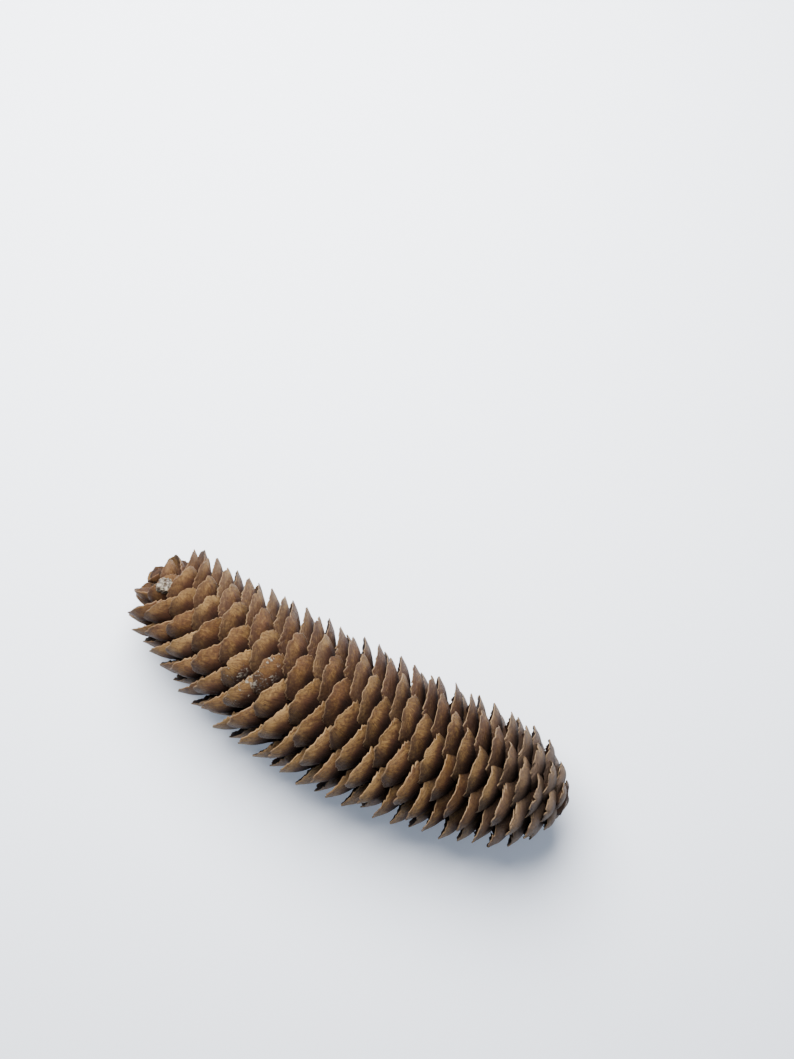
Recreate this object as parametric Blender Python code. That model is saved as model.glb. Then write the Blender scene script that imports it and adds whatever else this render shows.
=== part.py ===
"""An open spruce cone that lies on its side, grown as one woody body.

The scales stand on a spiral rule. Each one is turned by the divergence angle from the one before
and sits a little further along a bent axis, so the rows of 8 and 13 that show on a real cone come
out by themselves. A scale is a thin blade that leaves the axis steeply, bends towards the apex and
ends in a narrow notched tip. All blades are joined with the woody axis in one closed solid.

Lengths are in millimetres up to the point where a mesh is made, and in metres after it.
The apex is at -X, the stalk end at +X, and the axis bends in the XY plane.
"""
import math
import random

import bpy
from mathutils import Vector

NODE_NAME = "spruce_cone"
MM = 0.001

# The spiral rule
SCALE_COUNT = 226
FIRST_AZIMUTH_DEG = 259.43       # scale 0; 0 faces up, and 90 is towards -Y
DIVERGENCE_DEG = 137.7042        # turn from scale 0 to scale 1
DIVERGENCE_LOSS_DEG = 0.004555   # by which every next turn is smaller
FIRST_TIP = 0.83                 # place of the first tip along the axis
PITCH = 0.6996                   # longest step along the axis from one scale to the next
PITCH_SCALE = 189.5              # the scale that has it
PITCH_LOSS = 3.143e-6            # drop in pitch per squared count away from that scale

# The axis, measured along its own length from the apex
AXIS_LENGTH = 151.0
BEND_RADIUS_APEX = 148.0
BEND_RADIUS_BASE = 760.0
APEX_HEADING_DEG = 23.4          # from the X axis, turning back to the base
APEX_RISE_DEG = 14.0             # the very apex points up a little
RISE_LENGTH = 32.0
AXIS_STEP = 0.5
AXIS_MARGIN = 30.0

# The woody axis that the scales grow from
CORE_RADIUS = 5.2
CORE_RADIUS_APEX = 1.2
CORE_RADIUS_BASE = 3.6
CORE_TAPER_APEX = 36.0
CORE_TAPER_BASE = 10.0
CORE_START = 2.2
CORE_STUB = 0.8                  # by which it shows past the last scales
CORE_POINT_APEX = 0.5            # heights of the cones that close its two ends
CORE_POINT_BASE = 0.4
CORE_SIDES = 5
CORE_RINGS = 9

# How far the tips stand from the axis
TIP_RADIUS_MIDDLE = 25.15
TIP_RADIUS_APEX = 13.7
TIP_RADIUS_BASE = 17.35
WIDEST_AT = 78.0
BASE_ROUNDING = 20.0             # length over which the stalk end is rounded off
BASE_LEAST = 0.24                # share of the radius that is left at the very end
BUD_COUNT = 10                   # small closed scales at the apex
BUD_POWER = 0.7
BUD_ROUND_COUNT = 18             # scales from the apex that are broader and blunter than the rest
BUD_WIDENING = 1.5

# Angle between a scale and the axis, where it leaves the axis and at its tip: apex, middle, base
ROOT_ANGLES_DEG = (60.0, 80.0, 98.0)
TIP_ANGLES_DEG = (16.0, 34.0, 50.0)
BUD_TIP_ANGLE_DEG = -25.0
LINE_STEPS = 24                  # short steps that a scale's midline is added up from

# One scale, as shares of its length from the centre of the axis
HALF_WIDTHS = (6.2, 8.6, 8.6)    # at the apex, the middle and the base
CLOSED_POWER = 0.7               # how the width follows the reach at the closed ends
NARROW_SHARE = 0.45
WIDE_SHARE = 0.74
NOTCH_SHARE = 0.965
NARROW_WIDTH = 0.5               # half widths as shares of the widest
TIP_WIDTH = 0.17
BUD_TIP_WIDTH = 0.45
NARROW_THICKNESS = 1.35
WIDE_THICKNESS = 0.9
TIP_THICKNESS = 0.65
NARROW_CUP = 0.4                 # by which the side edges bend towards the apex
WIDE_CUPS = (1.5, 1.9, 2.4)      # at the apex, the middle and the base
TIP_CUP = 0.2

# Natural unevenness
SEED = 8
TURN_SPREAD_DEG = 1.2
REACH_SPREAD = 0.012
WIDTH_SPREAD = 0.04
ANGLE_SPREAD_DEG = 1.0

# What the cone rests on: tips that would reach lower end at this depth and are cut flat
REST_DEPTH = 23.4
REST_PRESS = 0.35
BLOCK_HALF = 120.0               # the block that cuts them
BLOCK_DEPTH = 20.0

WOOD_COLOUR = (0.27, 0.155, 0.075, 1)
WOOD_ROUGHNESS = 0.6
SHARP_DEG = 32.0                 # edges that turn more than this stay crisp

# Puts the middle of the bounding box over the origin
PLACE_X = -99.872
PLACE_Y = 28.076


def clear_scene():
    for thing in list(bpy.data.objects):
        bpy.data.objects.remove(thing, do_unlink=True)


def lerp(low, high, share):
    return low + (high - low) * share


def through_three(values, share):
    """Reads a value from three that belong to the shares 0, 0.5 and 1."""
    if share < 0.5:
        return lerp(values[0], values[1], share * 2)
    return lerp(values[1], values[2], share * 2 - 1)


def axis_heading(along):
    """The bend eases evenly from the apex radius to the base radius."""
    apex_curve = 1 / BEND_RADIUS_APEX
    base_curve = 1 / BEND_RADIUS_BASE
    turned = apex_curve * along + (base_curve - apex_curve) * along * along / (2 * AXIS_LENGTH)
    return math.radians(APEX_HEADING_DEG) - turned


def axis_rise(along):
    """How steeply the axis climbs towards the apex; it lies level from the rise length on."""
    left = max(1 - along / RISE_LENGTH, 0)
    return math.radians(APEX_RISE_DEG) * left * left


def trace_axis():
    """Adds up short steps along the heading and the rise, from before the apex to past the base."""
    place = Vector((PLACE_X, PLACE_Y, 0))
    points = []
    steps = int((AXIS_LENGTH + 2 * AXIS_MARGIN) / AXIS_STEP)
    for step in range(steps + 1):
        along = step * AXIS_STEP - AXIS_MARGIN
        points.append(place.copy())
        heading = axis_heading(along + AXIS_STEP / 2)
        rise = axis_rise(max(along + AXIS_STEP / 2, 0))
        level = AXIS_STEP * math.cos(rise)
        place += Vector((level * math.cos(heading), -level * math.sin(heading), -AXIS_STEP * math.sin(rise)))
    drop = points[-1].z
    for point in points:
        point.z -= drop
    return points


AXIS_POINTS = trace_axis()


def around_axis(along, radius, azimuth):
    """The point at a length along the axis, a distance from it and a turn about it."""
    place = (along + AXIS_MARGIN) / AXIS_STEP
    index = min(max(int(place), 0), len(AXIS_POINTS) - 2)
    centre = AXIS_POINTS[index].lerp(AXIS_POINTS[index + 1], place - index)
    heading = axis_heading(along)
    rise = axis_rise(max(along, 0))
    side = Vector((-math.sin(heading), -math.cos(heading), 0))
    tilt = math.sin(rise)
    above = Vector((math.cos(heading) * tilt, -math.sin(heading) * tilt, math.cos(rise)))
    return centre + side * (radius * math.sin(azimuth)) + above * (radius * math.cos(azimuth))


def tip_radius(along):
    """Two half parabolas from the widest place to the ends."""
    if along < WIDEST_AT:
        share = (WIDEST_AT - along) / WIDEST_AT
        return TIP_RADIUS_MIDDLE - (TIP_RADIUS_MIDDLE - TIP_RADIUS_APEX) * share * share
    share = (along - WIDEST_AT) / (AXIS_LENGTH - WIDEST_AT)
    return TIP_RADIUS_MIDDLE - (TIP_RADIUS_MIDDLE - TIP_RADIUS_BASE) * share * share


def end_share(index, along):
    """Share of the full reach that a scale keeps: less in the bud and round the stalk end."""
    if index < BUD_COUNT:
        return ((index + 0.5) / BUD_COUNT) ** BUD_POWER
    past = max(along - (AXIS_LENGTH - BASE_ROUNDING), 0) / BASE_ROUNDING
    return max(math.sqrt(max(1 - past * past, 0)), BASE_LEAST)


def scale_place(index):
    """Azimuth and place of the tip along the axis for one scale."""
    turn = FIRST_AZIMUTH_DEG + DIVERGENCE_DEG * index - DIVERGENCE_LOSS_DEG * index * (index - 1) / 2
    cubes = (index - PITCH_SCALE) ** 3 + PITCH_SCALE ** 3
    along = FIRST_TIP + PITCH * index - PITCH_LOSS * cubes / 3
    return math.radians(turn % 360), along


def scale_line(reach, tip_along, root_angle, tip_angle):
    """Place, distance from the axis and lean at even steps of a midline from the axis to the tip.

    The lean falls from the root angle to the tip angle with the square of the length gone.
    """
    line = [(0.0, 0.0, root_angle)]
    for step in range(LINE_STEPS):
        middle = (step + 0.5) / LINE_STEPS
        lean = lerp(root_angle, tip_angle, middle * middle)
        share = (step + 1) / LINE_STEPS
        place = line[-1][0] - math.cos(lean)
        distance = line[-1][1] + math.sin(lean)
        line.append((place, distance, lerp(root_angle, tip_angle, share * share)))
    size = reach / line[-1][1]
    end = line[-1][0]
    return [(tip_along + (place - end) * size, distance * size, lean) for place, distance, lean in line]


def scale_shape(index, draw):
    """All that sets one scale apart: its azimuth, midline, widths and cup."""
    azimuth, tip_along = scale_place(index)
    azimuth += math.radians(draw.uniform(-1, 1) * TURN_SPREAD_DEG)
    closing = end_share(index, tip_along)
    reach = tip_radius(tip_along) * closing * (1 + draw.uniform(-1, 1) * REACH_SPREAD)
    spread = draw.uniform(-1, 1) * ANGLE_SPREAD_DEG
    width_spread = 1 + draw.uniform(-1, 1) * WIDTH_SPREAD
    share = tip_along / AXIS_LENGTH
    root_angle = through_three(ROOT_ANGLES_DEG, share) + spread
    tip_angle = through_three(TIP_ANGLES_DEG, share) + spread
    if index < BUD_COUNT:
        tip_angle = lerp(BUD_TIP_ANGLE_DEG, tip_angle, (index + 0.5) / BUD_COUNT)
    depth = -reach * math.cos(azimuth)
    if depth > REST_DEPTH + REST_PRESS:
        reach *= (REST_DEPTH + REST_PRESS) / depth
    width = through_three(HALF_WIDTHS, share) * closing ** CLOSED_POWER * width_spread
    grown = min(index / BUD_ROUND_COUNT, 1)
    return {
        "azimuth": azimuth,
        "line": scale_line(reach, tip_along, math.radians(root_angle), math.radians(tip_angle)),
        "width": width * lerp(BUD_WIDENING, 1, grown),
        "tip_width": lerp(BUD_TIP_WIDTH, TIP_WIDTH, grown),
        "cup": through_three(WIDE_CUPS, share) * closing,
    }


def blade_point(shape, share, side, lift):
    """A point of a blade: side is measured across it and lift towards the apex, both from the midline."""
    line = shape["line"]
    place = share * LINE_STEPS
    index = min(int(place), LINE_STEPS - 1)
    along, radius, lean = (
        lerp(low, high, place - index) for low, high in zip(line[index], line[index + 1])
    )
    point_radius = radius - lift * math.cos(lean)
    return around_axis(along - lift * math.sin(lean), point_radius, shape["azimuth"] + side / radius)


def blade_mesh(index, draw):
    """A closed blade: two faces with a row of two, a row of three and a notched tip, and a rim."""
    shape = scale_shape(index, draw)
    width = shape["width"]
    rows = (
        ((-1, 1), (NARROW_SHARE,) * 2, NARROW_WIDTH, NARROW_THICKNESS, NARROW_CUP),
        ((-1, 0, 1), (WIDE_SHARE,) * 3, 1, WIDE_THICKNESS, shape["cup"]),
        ((-1, 0, 1), (1, NOTCH_SHARE, 1), shape["tip_width"], TIP_THICKNESS, TIP_CUP),
    )
    points = [around_axis(shape["line"][0][0], 0, 0)]
    for face in (-1, 1):
        for places, shares, width_share, thickness, cup in rows:
            for across, share in zip(places, shares):
                lift = face * thickness / 2 + cup * across * across
                points.append(blade_point(shape, share, across * width * width_share, lift))
    face_count = len(points) // 2
    upper = [(0, 1, 2), (1, 3, 4), (1, 4, 2), (2, 4, 5), (3, 6, 7), (3, 7, 4), (4, 7, 8), (4, 8, 5)]
    faces = list(upper)
    for three in upper:
        faces.append(tuple(corner and corner + face_count for corner in reversed(three)))
    rim = (1, 3, 6, 7, 8, 5, 2)
    for here, there in zip(rim, rim[1:]):
        faces.append((here, here + face_count, there + face_count))
        faces.append((here, there + face_count, there))
    faces.append((0, rim[0] + face_count, rim[0]))
    faces.append((0, rim[-1], rim[-1] + face_count))
    return points, faces


def core_radius(along, end):
    """The woody axis is even in the middle and tapers at both ends."""
    apex_share = min((along - CORE_START) / CORE_TAPER_APEX, 1)
    base_share = min((end - along) / CORE_TAPER_BASE, 1)
    apex_radius = lerp(CORE_RADIUS_APEX, CORE_RADIUS, apex_share)
    return min(apex_radius, lerp(CORE_RADIUS_BASE, CORE_RADIUS, base_share))


def core_mesh():
    """A tube of rings along the bent axis, with a point at each end."""
    end = AXIS_LENGTH + CORE_STUB
    points = [around_axis(CORE_START - CORE_POINT_APEX, 0, 0)]
    for ring in range(CORE_RINGS):
        along = lerp(CORE_START, end, ring / (CORE_RINGS - 1))
        for side in range(CORE_SIDES):
            points.append(around_axis(along, core_radius(along, end), -2 * math.pi * side / CORE_SIDES))
    points.append(around_axis(end + CORE_POINT_BASE, 0, 0))
    last = len(points) - 1
    faces = []
    for side in range(CORE_SIDES):
        after = (side + 1) % CORE_SIDES
        faces.append((0, 1 + side, 1 + after))
        for ring in range(CORE_RINGS - 1):
            near = 1 + ring * CORE_SIDES
            far = near + CORE_SIDES
            faces.append((near + side, far + side, far + after))
            faces.append((near + side, far + after, near + after))
        far = last - CORE_SIDES
        faces.append((last, far + after, far + side))
    return points, faces


def make_object(name, points, faces, collection):
    mesh = bpy.data.meshes.new(name)
    mesh.from_pydata([tuple(point * MM) for point in points], [], faces)
    mesh.update()
    made = bpy.data.objects.new(name, mesh)
    collection.objects.link(made)
    return made


def floor_block(collection):
    """A block whose top is the plane that the lowest tips are cut flat on."""
    ends = (-BLOCK_HALF, BLOCK_HALF)
    levels = (-REST_DEPTH - BLOCK_DEPTH, -REST_DEPTH)
    points = [Vector((x, y, z)) for x in ends for y in ends for z in levels]
    faces = [(0, 1, 3, 2), (4, 6, 7, 5), (0, 4, 5, 1), (2, 3, 7, 6), (0, 2, 6, 4), (1, 5, 7, 3)]
    return make_object("floor_block", points, faces, collection)


def wood_material():
    wood = bpy.data.materials.new("cone_wood")
    wood.use_nodes = True
    shader = wood.node_tree.nodes["Principled BSDF"]
    shader.inputs["Base Color"].default_value = WOOD_COLOUR
    shader.inputs["Roughness"].default_value = WOOD_ROUGHNESS
    shader.inputs["Metallic"].default_value = 0
    return wood


def join_all(core, blades, block):
    """Unites the core with every blade, cuts the rest plane and keeps the result as a mesh."""
    unite = core.modifiers.new("unite", "BOOLEAN")
    unite.operation = "UNION"
    unite.operand_type = "COLLECTION"
    unite.collection = blades
    unite.solver = "MANIFOLD"
    cut = core.modifiers.new("cut", "BOOLEAN")
    cut.operation = "DIFFERENCE"
    cut.object = block
    cut.solver = "MANIFOLD"
    graph = bpy.context.evaluated_depsgraph_get()
    joined = bpy.data.meshes.new_from_object(core.evaluated_get(graph))
    core.modifiers.clear()
    core.data = joined


def build():
    clear_scene()
    top = bpy.context.scene.collection
    blades = bpy.data.collections.new("blades")
    top.children.link(blades)
    draw = random.Random(SEED)
    for index in range(SCALE_COUNT):
        make_object(f"blade_{index:03d}", *blade_mesh(index, draw), blades)
    cone = make_object(NODE_NAME, *core_mesh(), top)
    block = floor_block(top)
    join_all(cone, blades, block)
    for thing in list(blades.objects) + [block]:
        bpy.data.objects.remove(thing, do_unlink=True)
    bpy.data.collections.remove(blades)
    for corner in cone.data.vertices:
        corner.co.z += REST_DEPTH * MM
    cone.data.name = NODE_NAME
    cone.data.materials.clear()
    cone.data.materials.append(wood_material())
    cone.data.shade_smooth()
    cone.data.set_sharp_from_angle(angle=math.radians(SHARP_DEG))


build()
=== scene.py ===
import math
import random

import bpy
import numpy as np
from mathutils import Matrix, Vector


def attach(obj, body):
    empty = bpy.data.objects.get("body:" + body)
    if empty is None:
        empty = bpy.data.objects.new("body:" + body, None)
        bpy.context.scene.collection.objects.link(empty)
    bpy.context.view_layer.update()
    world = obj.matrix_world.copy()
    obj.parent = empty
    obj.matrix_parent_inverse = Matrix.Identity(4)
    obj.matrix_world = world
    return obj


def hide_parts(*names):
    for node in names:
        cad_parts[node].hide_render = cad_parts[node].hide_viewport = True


# A long open spruce cone, seen from above on a pale floor.
# Lengths of the cone are in millimetres until makeMesh, which turns them into metres.
mm = 0.001
tiny = 1e-6  # smaller than any length or share that counts
knots = (0, 0.5, 1)  # values in threes are for the apex, the middle and the base of the cone

# How the cone grew: the same rule and values as the solid cone in the frame
growth = dict(
    scaleCount=226, firstAzimuth=259.43, divergence=137.7042, divergenceLoss=0.004555,
    firstTip=0.83, pitch=0.6996, pitchScale=189.5, pitchLoss=3.143e-6,
    axisLength=151.0, bendRadiusApex=148.0, bendRadiusBase=760.0, apexHeading=23.4,
    apexRise=14.0, riseLength=32.0, axisStep=0.5, axisMargin=30.0,
    tipRadiusMiddle=25.15, tipRadiusApex=13.7, tipRadiusBase=17.35, widestAt=78.0,
    baseRounding=20.0, baseLeast=0.24, budCount=10, budPower=0.7, budRoundCount=18, budWidening=1.5,
    rootAngles=(60.0, 80.0, 98.0), tipAngles=(16.0, 34.0, 50.0), budTipAngle=-25.0, lineSteps=24,
    halfWidths=(6.2, 8.6, 8.6), closedPower=0.7, cups=(1.5, 1.9, 2.4),
    seed=8, turnSpread=1.2, reachSpread=0.012, widthSpread=0.04, angleSpread=1.0,
    restDepth=23.4, restPress=0.35, placeX=-99.872, placeY=28.076,
)


def axisHeading(along):
    # direction in the floor plane: the curvature changes evenly from the apex to the base
    apexCurve = 1 / growth["bendRadiusApex"]
    baseCurve = 1 / growth["bendRadiusBase"]
    turned = apexCurve * along + (baseCurve - apexCurve) * along ** 2 / (2 * growth["axisLength"])
    return math.radians(growth["apexHeading"]) - turned


def axisRise(along):
    # climb towards the apex: falls with the square of the length left and is level after riseLength
    left = np.clip(1 - np.maximum(along, 0) / growth["riseLength"], 0, 1)
    return math.radians(growth["apexRise"]) * left ** 2


def traceAxis():
    # the axis is the running sum of short steps along the heading and the rise
    step = growth["axisStep"]
    count = int((growth["axisLength"] + 2 * growth["axisMargin"]) / step)
    start = np.arange(count + 1) * step - growth["axisMargin"]
    middle = start[:-1] + step / 2
    heading, rise = axisHeading(middle), axisRise(middle)
    steps = np.stack([np.cos(rise) * np.cos(heading), -np.cos(rise) * np.sin(heading), -np.sin(rise)], -1)
    points = np.concatenate([np.zeros((1, 3)), np.cumsum(steps * step, 0)])
    points[:, 2] -= points[-1, 2]
    return start, points + np.array([growth["placeX"], growth["placeY"], growth["restDepth"]])


axisAlong, axisPoints = traceAxis()


def aroundAxis(along, radius, azimuth):
    # point = axis(along) + radius * (side * sin(azimuth) + above * cos(azimuth)), above leaning with the rise
    centre = np.stack([np.interp(along, axisAlong, axisPoints[:, i]) for i in range(3)], -1)
    heading, rise = axisHeading(along), axisRise(along)
    side = np.stack([-np.sin(heading), -np.cos(heading), 0 * heading], -1)
    above = np.stack([np.cos(heading) * np.sin(rise), -np.sin(heading) * np.sin(rise), np.cos(rise)], -1)
    across = (radius * np.sin(azimuth))[..., None] * side
    return centre + across + (radius * np.cos(azimuth))[..., None] * above


def rampUp(value, start, end):
    # share s of the way from start to end, eased as s * s * (3 - 2 * s); the start may be the larger number
    share = np.clip((value - start) / (end - start), 0, 1)
    return share * share * (3 - 2 * share)


def signedPower(value, power):
    # size of the value to the power, with the value's sign, and nothing where it is next to nothing
    return np.where(np.abs(value) < tiny, 0, np.sign(value) * np.abs(value) ** power)


def growScales():
    # one row of numbers for each scale, drawn in the same order as the solid cone draws them:
    # each turns by the divergence from the last, and the reach follows two half parabolas about widestAt
    g = growth
    index = np.arange(g["scaleCount"])
    turn = g["firstAzimuth"] + g["divergence"] * index - g["divergenceLoss"] * index * (index - 1) / 2
    cubes = (index - g["pitchScale"]) ** 3 + g["pitchScale"] ** 3
    tipAlong = g["firstTip"] + g["pitch"] * index - g["pitchLoss"] * cubes / 3
    draw = random.Random(g["seed"])
    spread = np.array([[draw.uniform(-1, 1) for part in range(4)] for scale in index])
    azimuth = np.radians(turn % 360) + np.radians(spread[:, 0] * g["turnSpread"])
    place = tipAlong / g["axisLength"]
    apexSide = np.clip((g["widestAt"] - tipAlong) / g["widestAt"], 0, None) ** 2
    baseSide = np.clip((tipAlong - g["widestAt"]) / (g["axisLength"] - g["widestAt"]), 0, None) ** 2
    radius = g["tipRadiusMiddle"] - (g["tipRadiusMiddle"] - g["tipRadiusApex"]) * apexSide
    radius -= (g["tipRadiusMiddle"] - g["tipRadiusBase"]) * baseSide
    bud = (index + 0.5) / g["budCount"]
    past = np.clip(tipAlong - (g["axisLength"] - g["baseRounding"]), 0, None) / g["baseRounding"]
    rounding = np.maximum(np.sqrt(np.clip(1 - past ** 2, 0, None)), g["baseLeast"])
    inBud = index < g["budCount"]
    closing = np.where(inBud, np.clip(bud, 0, 1) ** g["budPower"], rounding)
    reach = radius * closing * (1 + spread[:, 1] * g["reachSpread"])
    rootAngle = np.interp(place, knots, g["rootAngles"]) + spread[:, 2] * g["angleSpread"]
    tipAngle = np.interp(place, knots, g["tipAngles"]) + spread[:, 2] * g["angleSpread"]
    tipAngle = np.where(inBud, g["budTipAngle"] + (tipAngle - g["budTipAngle"]) * bud, tipAngle)
    depth = -reach * np.cos(azimuth)
    limit = g["restDepth"] + g["restPress"]
    reach = np.where(depth > limit, reach * limit / np.maximum(depth, tiny), reach)
    width = np.interp(place, knots, g["halfWidths"]) * closing ** g["closedPower"]
    width *= 1 + spread[:, 3] * g["widthSpread"]
    width *= g["budWidening"] + (1 - g["budWidening"]) * np.clip(index / g["budRoundCount"], 0, 1)
    meanAngle = (rootAngle * 2 + tipAngle) / 3  # the lean grows with a square, whose mean is a third
    return dict(index=index, azimuth=azimuth, tipAlong=tipAlong, reach=reach, place=place, closing=closing,
                length=reach / np.sin(np.radians(meanAngle)), width=width,
                rootAngle=np.radians(rootAngle), tipAngle=np.radians(tipAngle),
                cup=np.interp(place, knots, g["cups"]) * closing)


def scaleLines(scales, share):
    # midline: lean goes from the root angle to the tip angle with the square of the share gone,
    # and place and distance are running sums of its cosine and sine, sized so that the tip is at the reach
    steps = growth["lineSteps"]
    middle = (np.arange(steps) + 0.5) / steps
    root, bend = scales["rootAngle"][:, None], (scales["tipAngle"] - scales["rootAngle"])[:, None]
    lean = root + bend * middle ** 2
    zero = np.zeros((len(root), 1))
    place = np.concatenate([zero, np.cumsum(-np.cos(lean), 1)], 1)
    distance = np.concatenate([zero, np.cumsum(np.sin(lean), 1)], 1)
    size = scales["reach"][:, None] / distance[:, -1:]
    place = scales["tipAlong"][:, None] + (place - place[:, -1:]) * size
    distance = distance * size
    spot = share * steps
    low = np.clip(spot.astype(int), 0, steps - 1)
    part = spot - low
    rows = np.arange(len(root)).reshape(-1, *[1] * (share.ndim - 1))

    def read(table):
        return table[rows, low] * (1 - part) + table[rows, low + 1] * part

    leanHere = scales["rootAngle"].reshape(rows.shape) + bend.reshape(rows.shape) * share ** 2
    return read(place), read(distance), leanHere


# One scale as a shell: how many points, and the small forms that the photograph shows on it.
# Pairs are the shares of the scale's length between which a form comes in or fades; budFade is in scales,
# and nibbles are pairs of how many waves and how deep.
scaleForm = dict(
    rows=40, around=36, rowPower=1.5, rootShare=0.06, sidePower=0.8, edgePower=0.55, sideLimit=0.95,
    widestShare=0.74, clawWidths=(0.3, 0.4, 0.5), clawPower=1.2, wingPower=1.5,
    tipWidths=(0.34, 0.27, 0.19), tipPowers=(1.9, 1.6, 1.25), widen=1.12, cupMore=1.5,
    budFade=(30, 10), budRound=0.94, budWidest=0.62, budShorter=0.35, budShorterCount=3,
    clawThickness=1.5, middleThickness=0.95, rimThickness=0.45, clawEnd=0.5, rimFrom=0.6,
    outer=(0.5, 0.8), toothSize=0.040, toothWaves=(11, 19, 31), toothPower=3,
    mouthFrom=0.84, notch=0.02, notchWidth=0.30, nibbles=((6, 0.007), (17, 0.005)), cutSpread=(0.4, 1.3),
    raggedFrom=0.78, raggedMore=3.4, wave=0.3, waveCount=1.4, curl=0.3, curlFrom=0.7,
    keel=0.35, keelWidth=0.28, keelRise=(0.35, 0.65), keelFall=(1.02, 0.82),
    seed=21, resinScales=(61, 69, 74),
)
pieces = 4  # the scales are shared out among this many objects along the cone


def scaleOutline(u, place, budded, form):
    # half width as a share of the widest: from the claw it grows as an eased power of u, nearer to a plain
    # power towards the base of the cone, and then falls as a power, or as an ellipse in the bud
    tipWidth = np.interp(place, knots, form["tipWidths"])
    tipPower = np.interp(place, knots, form["tipPowers"])
    claw = np.interp(place, knots, form["clawWidths"])
    widest = form["widestShare"] + (form["budWidest"] - form["widestShare"]) * budded
    grown = np.clip(u / widest, 0, 1)
    rounded, winged = rampUp(grown, 0, 1) ** form["clawPower"], grown ** form["wingPower"]
    rising = claw + (1 - claw) * (rounded + (winged - rounded) * place)
    past = np.clip((u - widest) / (1 - widest), 0, 1)
    falling = 1 - (1 - tipWidth) * past ** tipPower
    falling = falling + (np.sqrt(1 - form["budRound"] * past ** 2) - falling) * budded
    return np.where(u < widest, rising, falling)


def scaleThickness(u, form):
    # middle thickness, plus what the claw has more near the root, plus what the rim has less near the tip
    claw = (form["clawThickness"] - form["middleThickness"]) * (1 - rampUp(u, 0, form["clawEnd"]))
    rim = (form["rimThickness"] - form["middleThickness"]) * rampUp(u, form["rimFrom"], 1)
    return form["middleThickness"] + claw + rim


def scaleShells(scales, form):
    # shell point: share u runs from root to tip, and angle t runs round the cross section, in which
    # v = cos(t) to the sidePower and upper = sin(t) to the edgePower, both with their signs.
    # side = v * width * outline(u) * (1 + teeth), and notch and nibbles shorten u at the mouth;
    # lift = cup * (side / width) ** 2 + waves - keel + curl + upper * thickness / 2, round the cone's axis
    count = len(scales["index"])
    chance = np.random.default_rng(form["seed"])
    run = np.linspace(0, 1, form["rows"])[None, :, None]
    u = form["rootShare"] + (1 - form["rootShare"]) * (1 - (1 - run) ** form["rowPower"])
    t = (np.arange(form["around"]) * 2 * math.pi / form["around"])[None, None, :]
    v, upper = signedPower(np.cos(t), form["sidePower"]), signedPower(np.sin(t), form["edgePower"])
    place, width, closing, length, cup, turn = (
        scales[label][:, None, None] for label in ("place", "width", "closing", "length", "cup", "azimuth"))
    width = width * form["widen"]
    budded = rampUp(scales["index"], *form["budFade"])[:, None, None]
    outline = scaleOutline(u, place, budded, form)

    phases = chance.uniform(0, 2 * math.pi, (count, 1, 1, 8))
    outer = rampUp(u, *form["outer"])
    dryness = 1 + form["raggedMore"] * rampUp(place, form["raggedFrom"], 1)
    teeth = 0
    for order, waves in enumerate(form["toothWaves"]):
        phase = np.where(v < 0, phases[..., order], phases[..., order + 3])
        teeth = teeth + form["toothSize"] * np.sin(2 * math.pi * waves * u + phase)
    sideways = v * width * outline * (1 + teeth * dryness * outer * np.abs(v) ** form["toothPower"])

    cut = form["notch"] * np.exp(-(v / form["notchWidth"]) ** 2)
    for order, (waves, depth) in enumerate(form["nibbles"]):
        cut = cut + depth * np.sin(waves * v + phases[..., order + 6])
    cut = cut * rampUp(u, form["mouthFrom"], 1) * dryness * chance.uniform(*form["cutSpread"], (count, 1, 1))
    shorter = form["budShorter"] * rampUp(scales["index"], form["budShorterCount"], 0)[:, None, None]
    gone = np.clip(u * (1 - shorter) - cut, 0, 1)
    along, distance, lean = scaleLines(scales, np.broadcast_to(gone, sideways.shape))

    waving = np.sin(2 * math.pi * form["waveCount"] * u + phases[..., 1]) * outer * v ** 2 * form["wave"]
    keel = form["keel"] * np.exp(-(v / form["keelWidth"]) ** 2)
    keel = keel * rampUp(u, *form["keelRise"]) * rampUp(u, *form["keelFall"])
    curl = form["curl"] * chance.normal(0, 1, (count, 1, 1)) * rampUp(u, form["curlFrom"], 1) * outer
    sideways = np.clip(sideways, -form["sideLimit"] * distance, form["sideLimit"] * distance)
    lift = cup * form["cupMore"] * (sideways / width) ** 2
    lift = lift + (waving - keel + curl) * closing + upper * scaleThickness(u, form) * np.sqrt(closing) / 2
    radius, azimuth = distance - lift * np.cos(lean), turn + sideways / distance
    points = aroundAxis(along - lift * np.sin(lean), radius, azimuth)
    points[..., 2] = np.maximum(points[..., 2], 0)

    # distance to the outline: half the harmonic mean of the distances to the tip and to the side edge
    toTip, toSide = (1 - u) * length, (1 - np.abs(v)) * width * outline
    fromEdge = toTip * toSide / (toTip + toSide + tiny)
    tone = chance.uniform(0, 1, (count, 1, 1))
    sticky = np.isin(scales["index"], form["resinScales"])[:, None, None]
    attributes = dict(alongScale=u, acrossScale=v, innerFace=upper > 0, scaleTone=tone, alongCone=place,
                      fromEdge=fromEdge, resin=sticky, budPart=budded)
    return points, {label: np.broadcast_to(values, sideways.shape) for label, values in attributes.items()}


def shellFaces(count, rows, around):
    # quads between neighbouring rows, and strips that close the root row and the tip row
    first = np.arange(count)[:, None, None] * rows * around
    last = first + (rows - 1) * around
    row = first + np.arange(rows - 1)[None, :, None] * around
    here = np.arange(around)[None, None, :]
    after = (here + 1) % around
    sides = np.stack([row + here, row + after, row + around + after, row + around + here], -1)
    half = around // 2
    near = np.arange(1, half - 1)
    strip = np.stack([near, near + 1, around - near - 1, around - near], -1)
    corners = np.array([[0, 1, around - 1], [half - 1, half, half + 1]])
    quads = [faces.reshape(-1, 4) for faces in (sides, first + strip[:, ::-1], last + strip)]
    threes = [faces.reshape(-1, 3) for faces in (first + corners[:, ::-1], last + corners)]
    return np.concatenate(quads), np.concatenate(threes)


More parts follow.
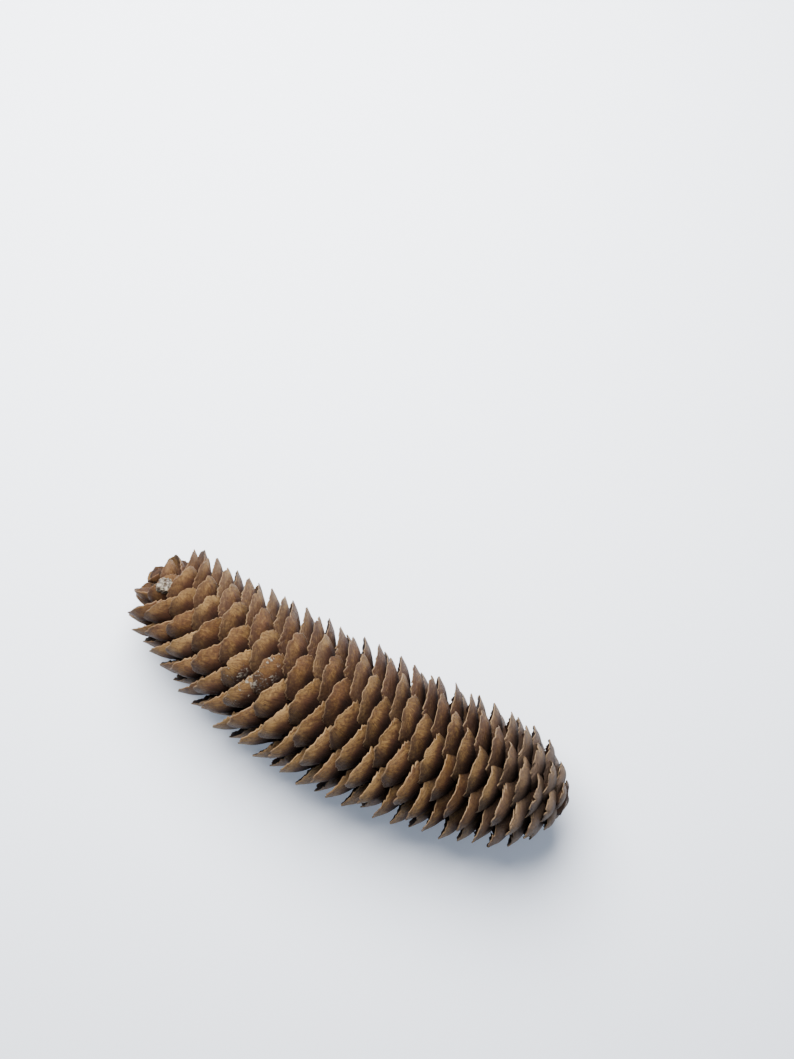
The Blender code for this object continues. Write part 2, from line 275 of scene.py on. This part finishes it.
def makeMesh(name, points, quads, threes, attributes, material):
    # whole arrays go into the mesh with foreach_set
    mesh = bpy.data.meshes.new(name)
    flat = points.reshape(-1, 3) * mm
    mesh.vertices.add(len(flat))
    mesh.vertices.foreach_set("co", flat.ravel().astype(np.float32))
    corners = np.concatenate([quads.ravel(), threes.ravel()])
    sizes = np.concatenate([np.full(len(quads), 4), np.full(len(threes), 3)])
    mesh.loops.add(len(corners))
    mesh.loops.foreach_set("vertex_index", corners.astype(np.int32))
    mesh.polygons.add(len(sizes))
    mesh.polygons.foreach_set("loop_start", (np.cumsum(sizes) - sizes).astype(np.int32))
    mesh.polygons.foreach_set("use_smooth", np.ones(len(sizes), dtype=bool))
    mesh.update(calc_edges=True)
    mesh.validate()
    for label, values in attributes.items():
        layer = mesh.attributes.new(label, "FLOAT", "POINT")
        layer.data.foreach_set("value", values.ravel().astype(np.float32))
    mesh.materials.append(material)
    made = bpy.data.objects.new(name, mesh)
    bpy.context.scene.collection.objects.link(made)
    return made


class Wire:
    # a socket that can be written in sums; every sum adds its Math node to the material
    def __init__(self, tree, socket=None):
        self.tree, self.socket = tree, socket

    def node(self, kind, settings=None, values=None, out=0):
        made = self.tree.nodes.new(kind)
        for label, value in (settings or {}).items():
            setattr(made, label, value)
        for label, value in (values or {}).items():
            if isinstance(value, Wire):
                self.tree.links.new(value.socket, made.inputs[label])
            else:
                made.inputs[label].default_value = value
        return Wire(self.tree, made.outputs[out])

    def math(self, operation, first, second=0.0):
        return self.node("ShaderNodeMath", dict(operation=operation), {0: first, 1: second})

    def __add__(self, other):
        return self.math("ADD", self, other)

    def __radd__(self, other):
        return self.math("ADD", other, self)

    def __sub__(self, other):
        return self.math("SUBTRACT", self, other)

    def __rsub__(self, other):
        return self.math("SUBTRACT", other, self)

    def __mul__(self, other):
        return self.math("MULTIPLY", self, other)

    def __rmul__(self, other):
        return self.math("MULTIPLY", other, self)

    def __abs__(self):
        return self.math("ABSOLUTE", self)

    def swing(self, amount):
        # turns a value about one half into one about nothing, as wide as the amount
        return (self - 0.5) * amount

    def between(self, low, high):
        # 0 at low, 1 at high, eased in between; low may be the larger number
        return self.node("ShaderNodeMapRange", dict(interpolation_type="SMOOTHSTEP"),
                         {"Value": self, "From Min": low, "From Max": high})

    def mixed(self, amount, first, second):
        return self.node("ShaderNodeMix", dict(data_type="RGBA"), {0: amount, 6: first, 7: second}, out=2)

    def attribute(self, label):
        return self.node("ShaderNodeAttribute", dict(attribute_name=label), out=2)

    def vector(self, x, y, z):
        return self.node("ShaderNodeCombineXYZ", None, {0: x, 1: y, 2: z})

    def noise(self, vector, scale, detail, rough, distortion=0.0):
        return self.node("ShaderNodeTexNoise", None,
                         {"Vector": vector, "Scale": scale, "Detail": detail, "Roughness": rough,
                          "Distortion": distortion})

    def bump(self, strength, distance, height):
        return self.node("ShaderNodeBump", None,
                         {"Strength": strength, "Distance": distance, "Height": height})


def newMaterial(name):
    material = bpy.data.materials.new(name)
    material.use_nodes = True
    shader = material.node_tree.nodes["Principled BSDF"]
    return material, shader, Wire(material.node_tree)


def joinTo(shader, label, wire):
    wire.tree.links.new(wire.socket, shader.inputs[label])


# Pairs are where a colour begins and where it is full; Cover is how much it hides of those before it.
# Noises are scale, detail, roughness and distortion. Stretches are across, along and from scale to scale.
woodLook = dict(
    tan=(0.078, 0.0385, 0.0125, 1), honey=(0.174, 0.103, 0.0375, 1), russet=(0.029, 0.0112, 0.0052, 1),
    grey=(0.024, 0.0155, 0.0135, 1), rim=(0.20, 0.135, 0.075, 1), inner=(0.010, 0.0040, 0.0023, 1),
    deep=(0.0065, 0.0025, 0.0015, 1), dusty=(0.078, 0.055, 0.041, 1), blush=(0.062, 0.025, 0.0125, 1),
    wingShade=(0.032, 0.0178, 0.0135, 1), resin=(0.34, 0.31, 0.25, 1),
    streakNoise=(1.6, 4, 0.62), streakStretch=(11, 3.4, 43),
    fibreNoise=(1.5, 3, 0.62), fibreStretch=(38, 7, 31),
    blotchNoise=(210, 4, 0.62, 0.5), speckNoise=(950, 4, 0.65),
    warmEdge=(3.25, 1.15), warmBlotch=2.6, warmTone=0.8,  # millimetres from the outline
    # painted shade with some dirt: the deep colour darkens each scale towards where it runs under its
    # neighbours
    buriedShadeEdge=(2.5, 4.1), buriedShadeBlotch=1.3, buriedShadeCover=0.85,  # millimetres from the outline
    honeyStreaks=(0.38, 0.68), honeyTone=0.3, honeyCover=0.85,
    blushTone=(0.62, 1.05), blushLess=0.6, blushBlotch=1.6, blushCover=0.42, budBlush=0.55,
    greySide=(0.3, 0.9), greyAlong=(0.86, 0.62), greyLeast=0.35, greyBlotch=0.6,
    # painted shade on one wing of every scale
    wingShadeSide=(-0.1, 0.9), wingShadeBlotch=0.8, wingShadeLeast=0.45, wingShadeStreaks=0.5,
    fibreDark=(0.47, 0.62), fibreCover=0.5, speckDark=(0.50, 0.62), speckCover=0.5,
    speckPale=(0.47, 0.36), paleCover=0.25,
    dustyPlace=(0.72, 0.98), dustyLeast=0.25, dustyStreaks=0.75,
    rimTip=(0.985, 1.005), rimFibres=0.03, rimSide=(0.95, 0.985), rimBlotch=0.05, rimAlong=(0.62, 0.76),
    rimCover=0.45, rimMore=0.4, rimPlace=(0.6, 1.0),
    innerTip=(0.93, 1.0), innerTipLess=0.5, innerBudLess=0.75,
    dropSize=(0.91, 1.04), dropBlotch=0.7, dropAlong=(0.68, 0.85), dropCover=0.6,
    roughness=0.56, roughStreaks=0.3, roughRoot=0.12, shine=0.15, bump=0.9, bumpHeight=0.0007,
    streakHeight=0.5, fibreHeight=0.35, speckHeight=0.35, blotchHeight=0.5, dropHeight=0.5,
)


def scaleWood():
    # warm wood near the outline, and painted shade with some dirt where a scale runs under its neighbours;
    # each colour goes over those before it
    look = woodLook
    material, shader, w = newMaterial("scaleWood")
    along, across, fromEdge = w.attribute("alongScale"), w.attribute("acrossScale"), w.attribute("fromEdge")
    tone, inner, place = w.attribute("scaleTone"), w.attribute("innerFace"), w.attribute("alongCone")
    bud, resin = w.attribute("budPart"), w.attribute("resin")
    spot = w.node("ShaderNodeTexCoord", out=3)

    def lengthwise(stretch, noise):
        return w.noise(w.vector(across * stretch[0], along * stretch[1], tone * stretch[2]), *noise)

    streaks = lengthwise(look["streakStretch"], look["streakNoise"])
    fibres = lengthwise(look["fibreStretch"], look["fibreNoise"])
    blotch, speck = w.noise(spot, *look["blotchNoise"]), w.noise(spot, *look["speckNoise"])

    warm = fromEdge + blotch.swing(look["warmBlotch"]) + tone.swing(look["warmTone"])
    warm = warm.between(*look["warmEdge"])
    body = w.mixed(warm, look["russet"], look["tan"])
    honey = (streaks + tone.swing(look["honeyTone"])).between(*look["honeyStreaks"])
    body = w.mixed(honey * warm * look["honeyCover"], body, look["honey"])
    blush = (1 - tone * look["blushLess"] + blotch.swing(look["blushBlotch"])).between(*look["blushTone"])
    body = w.mixed(blush * look["blushCover"], body, look["blush"])
    grey = abs(across).between(*look["greySide"]) * along.between(*look["greyAlong"])
    body = w.mixed(grey * (look["greyLeast"] + blotch * look["greyBlotch"]), body, look["grey"])
    # painted shade: the wing on the +across side of every scale is darkened, as if turned away from the light
    wingShade = (across + blotch.swing(look["wingShadeBlotch"])).between(*look["wingShadeSide"])
    body = w.mixed(wingShade * (look["wingShadeLeast"] + streaks * look["wingShadeStreaks"]), body, look["wingShade"])
    body = w.mixed(fibres.between(*look["fibreDark"]) * look["fibreCover"], body, look["russet"])
    body = w.mixed(speck.between(*look["speckDark"]) * look["speckCover"], body, look["russet"])
    body = w.mixed(speck.between(*look["speckPale"]) * look["paleCover"] * warm, body, look["honey"])
    dusty = place.between(*look["dustyPlace"]) * (look["dustyLeast"] + streaks * look["dustyStreaks"])
    body = w.mixed(dusty, body, look["dusty"])
    # painted shade with some dirt: darker away from the outline, where the neighbouring scales overlap
    buriedShade = (fromEdge + blotch.swing(look["buriedShadeBlotch"])).between(*look["buriedShadeEdge"])
    body = w.mixed(buriedShade * look["buriedShadeCover"], body, look["deep"])
    rimTip = (along + fibres.swing(look["rimFibres"])).between(*look["rimTip"])
    rimSide = (abs(across) + blotch.swing(look["rimBlotch"])).between(*look["rimSide"])
    rim = w.math("MAXIMUM", rimTip, rimSide * along.between(*look["rimAlong"]))
    rimCover = look["rimCover"] + place.between(*look["rimPlace"]) * look["rimMore"]
    body = w.mixed(rim * rimCover, body, look["rim"])
    body = w.mixed(bud * streaks * look["budBlush"], body, look["blush"])
    innerCover = inner * (1 - along.between(*look["innerTip"]) * look["innerTipLess"])
    body = w.mixed(innerCover * (1 - bud * look["innerBudLess"]), body, look["inner"])
    drops = (speck + blotch * look["dropBlotch"]).between(*look["dropSize"])
    drops = drops * resin * along.between(*look["dropAlong"])
    body = w.mixed(drops * (1 - inner) * look["dropCover"], body, look["resin"])
    joinTo(shader, "Base Color", body)

    shader.inputs["Specular IOR Level"].default_value = look["shine"]
    rough = look["roughness"] + streaks.swing(look["roughStreaks"]) + (1 - warm) * look["roughRoot"]
    joinTo(shader, "Roughness", rough)
    height = streaks * look["streakHeight"] + fibres * look["fibreHeight"] + speck * look["speckHeight"]
    height = height + blotch * look["blotchHeight"] + drops * look["dropHeight"]
    joinTo(shader, "Normal", w.bump(look["bump"], look["bumpHeight"], height))
    return material


# Crumbs are pairs of how many waves and how high, largest first
resinForm = dict(along=7.1, radius=11.0, azimuth=-3.0, size=(2.5, 2.1, 1.2), rows=48, around=72, poleGap=0.02,
                 crumbs=((3, 0.16), (6, 0.13), (11, 0.09), (19, 0.05)), crumbTilt=0.6, crumbShift=6,
                 crumbHeight=2.2, seed=5)
resinLook = dict(pale=(0.17, 0.15, 0.108, 1), amber=(0.03, 0.018, 0.01, 1), grain=(900, 4, 0.7),
                 paleGrain=(0.47, 0.62), roughness=0.5, roughGrain=0.3, bump=0.8, bumpHeight=0.0004)


def resinLump(form):
    # a ball of latitudes and longitudes stretched to the size, its radius broken into crumbs:
    # each kind of crumb is its height times a product of three sines of the tilted direction
    chance = np.random.default_rng(form["seed"])
    rise = (np.linspace(form["poleGap"], 1 - form["poleGap"], form["rows"]) * math.pi)[:, None]
    turn = (np.arange(form["around"]) * -2 * math.pi / form["around"])[None, :]
    way = np.stack([np.sin(rise) * np.cos(turn), np.sin(rise) * np.sin(turn), np.cos(rise) + 0 * turn], -1)
    bumps = 0
    for waves, height in form["crumbs"]:
        tilt = chance.normal(0, 1, (3, 3)) * waves * form["crumbTilt"]
        shift = chance.uniform(0, form["crumbShift"], 3)
        bumps = bumps + height * form["crumbHeight"] * np.prod(np.sin(way @ tilt.T + shift), -1)
    local = way * (1 + bumps)[..., None] * np.array(form["size"])
    azimuth = math.radians(form["azimuth"])
    along = form["along"] + local[..., 0]
    return aroundAxis(along, form["radius"] + local[..., 2], azimuth + local[..., 1] / form["radius"])


def resinStuff():
    # whitish crumbs with amber in their hollows
    look = resinLook
    material, shader, w = newMaterial("driedResin")
    grain = w.noise(w.node("ShaderNodeTexCoord", out=3), *look["grain"])
    joinTo(shader, "Base Color", w.mixed(grain.between(*look["paleGrain"]), look["amber"], look["pale"]))
    joinTo(shader, "Roughness", look["roughness"] + grain.swing(look["roughGrain"]))
    joinTo(shader, "Normal", w.bump(look["bump"], look["bumpHeight"], grain))
    return material


# Ridges are pairs of how many go round and how fast they turn along the axis
coreForm = dict(radius=8.0, apexRadius=1.9, baseRadius=4.5, apexTaper=52.0, baseTaper=12.0, start=2.2,
                stub=0.6, rings=150, around=40, bark=0.3, ridges=((8, 0.9), (13, -0.6)), capLength=0.6,
                capLeast=0.02)
barkLook = dict(deep=(0.010, 0.0045, 0.0025, 1), light=(0.034, 0.016, 0.008, 1), grain=(420, 4, 0.6),
                lightGrain=(0.35, 0.7), roughness=0.85, roughGrain=0.2, shine=0.15, bump=0.6,
                bumpHeight=0.0004)


def woodyAxis(form):
    # tube along the axis: radius tapers evenly at both ends, times a square root that closes the very ends,
    # and the bark is a product of two sines that run round and along
    start, end = form["start"], growth["axisLength"] + form["stub"]
    along = np.linspace(start, end, form["rings"])[:, None]
    azimuth = (np.arange(form["around"]) * -2 * math.pi / form["around"])[None, :]
    apexShare = np.clip((along - start) / form["apexTaper"], 0, 1)
    baseShare = np.clip((end - along) / form["baseTaper"], 0, 1)
    radius = np.minimum(form["apexRadius"] + (form["radius"] - form["apexRadius"]) * apexShare,
                        form["baseRadius"] + (form["radius"] - form["baseRadius"]) * baseShare)
    bark = form["bark"] * np.clip(radius / form["radius"], 0, 1)
    for count, twist in form["ridges"]:
        bark = bark * np.sin(count * azimuth + along * twist)
    cap = np.sqrt(np.clip(np.minimum(along - start, end - along) / form["capLength"], form["capLeast"], 1))
    points = aroundAxis(along + 0 * azimuth, (radius + bark) * cap, azimuth + 0 * along)
    points[..., 2] = np.maximum(points[..., 2], 0)
    return points


def coreBark():
    # the dark axis between the scales
    look = barkLook
    material, shader, w = newMaterial("coreBark")
    grain = w.noise(w.node("ShaderNodeTexCoord", out=3), *look["grain"])
    joinTo(shader, "Base Color", w.mixed(grain.between(*look["lightGrain"]), look["deep"], look["light"]))
    shader.inputs["Specular IOR Level"].default_value = look["shine"]
    joinTo(shader, "Roughness", look["roughness"] + grain.swing(look["roughGrain"]))
    joinTo(shader, "Normal", w.bump(look["bump"], look["bumpHeight"], grain))
    return material


floorLook = dict(colour=(0.65, 0.685, 0.75, 1), roughness=0.6, reach=3.0)  # reach in metres


def layFloor():
    # a flat square just under the cone
    look = floorLook
    material, shader = newMaterial("paleFloor")[:2]
    shader.inputs["Base Color"].default_value = look["colour"]
    shader.inputs["Roughness"].default_value = look["roughness"]
    reach = look["reach"] / mm
    points = np.array([(-reach, -reach, 0), (reach, -reach, 0), (reach, reach, 0), (-reach, reach, 0)])
    floor = makeMesh("paleFloor", points, np.array([[0, 1, 2, 3]]), np.zeros((0, 3), int), {}, material)


# The photograph is 794 x 1059 pixels; it looks straight down, and its own up is turned from +Y of the cone.
# The mark is a place on the axis and its pixel; the distance is in pixels too.
photo = dict(width=794, height=1059, pixel=0.31, distance=2500, turn=27.53, markAlong=41.85,
             markX=246.36, markY=656.96, sensor=36.0)


def photoDirections():
    # the picture's right and up, as directions on the floor
    turn = math.radians(photo["turn"])
    return Vector((math.cos(turn), math.sin(turn), 0)), Vector((-math.sin(turn), math.cos(turn), 0))


def setCamera():
    # the mark on the axis must fall on its pixel, with the photograph's centre straight below the lens
    right, up = photoDirections()
    mark = Vector([float(np.interp(photo["markAlong"], axisAlong, axisPoints[:, i])) for i in range(3)])
    rightward = (photo["width"] / 2 - photo["markX"]) * photo["pixel"]
    upward = (photo["markY"] - photo["height"] / 2) * photo["pixel"]
    spot = mark + right * rightward + up * upward
    spot.z = growth["restDepth"] + photo["distance"] * photo["pixel"]
    lens = bpy.data.cameras.new("photoCamera")
    lens.sensor_fit = "HORIZONTAL"
    lens.sensor_width = photo["sensor"]
    lens.lens = photo["sensor"] * photo["distance"] / photo["width"]
    camera = bpy.data.objects.new("photoCamera", lens)
    camera.location = spot * mm
    camera.rotation_euler = (0, 0, math.radians(photo["turn"]))
    bpy.context.scene.collection.objects.link(camera)
    bpy.context.scene.camera = camera


# up, right and high give the direction to each lamp; distance and size are in metres
lamps = dict(
    window=dict(up=0.85, right=-0.16, high=1.2, distance=0.50, size=0.40, energy=16,
                colour=(1.0, 0.985, 0.96)),
    fill=dict(up=-0.8, right=-0.5, high=1.0, distance=1.5, size=1.2, energy=0.9,
              colour=(0.86, 0.92, 1.0)),
)
sky = dict(colour=(0.76, 0.85, 1.0, 1), strength=0.70)


def setLights():
    # a large soft window light from the top of the picture, a weak cool fill and a pale sky
    right, up = photoDirections()
    for name, lamp in lamps.items():
        light = bpy.data.lights.new(name, "AREA")
        light.shape = "DISK"
        light.size = lamp["size"]
        light.energy = lamp["energy"]
        light.color = lamp["colour"]
        away = (up * lamp["up"] + right * lamp["right"] + Vector((0, 0, lamp["high"]))).normalized()
        holder = bpy.data.objects.new(name, light)
        holder.location = away * lamp["distance"]
        holder.rotation_euler = away.to_track_quat("Z", "Y").to_euler()
        bpy.context.scene.collection.objects.link(holder)
    world = bpy.data.worlds.new("paleSky")
    world.use_nodes = True
    background = world.node_tree.nodes["Background"]
    background.inputs["Color"].default_value = sky["colour"]
    background.inputs["Strength"].default_value = sky["strength"]
    bpy.context.scene.world = world


def settle(piece):
    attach(piece, "root")
    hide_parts("spruce_cone")


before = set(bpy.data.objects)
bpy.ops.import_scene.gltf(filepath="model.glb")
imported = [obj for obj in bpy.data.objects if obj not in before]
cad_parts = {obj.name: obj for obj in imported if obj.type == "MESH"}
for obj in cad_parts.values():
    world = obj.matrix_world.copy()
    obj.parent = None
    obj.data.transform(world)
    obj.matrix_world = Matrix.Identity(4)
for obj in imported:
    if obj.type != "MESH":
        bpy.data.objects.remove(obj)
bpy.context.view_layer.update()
print("frame loaded")

setCamera()
setLights()
layFloor()
print("camera, lights and floor set")

wood = scaleWood()
scales = growScales()
points, attributes = scaleShells(scales, scaleForm)
perPiece = math.ceil(growth["scaleCount"] / pieces)
for piece in range(pieces):
    chosen = slice(piece * perPiece, (piece + 1) * perPiece)
    quads, threes = shellFaces(len(points[chosen]), scaleForm["rows"], scaleForm["around"])
    held = {label: values[chosen] for label, values in attributes.items()}
    settle(makeMesh(f"scales{piece + 1}", points[chosen], quads, threes, held, wood))
print("scales grown:", growth["scaleCount"])

coreQuads, coreThrees = shellFaces(1, coreForm["rings"], coreForm["around"])
settle(makeMesh("woodyAxis", woodyAxis(coreForm), coreQuads, coreThrees, {}, coreBark()))
print("woody axis made")

resinQuads, resinThrees = shellFaces(1, resinForm["rows"], resinForm["around"])
settle(makeMesh("apexResin", resinLump(resinForm), resinQuads, resinThrees, {}, resinStuff()))
print("resin made")
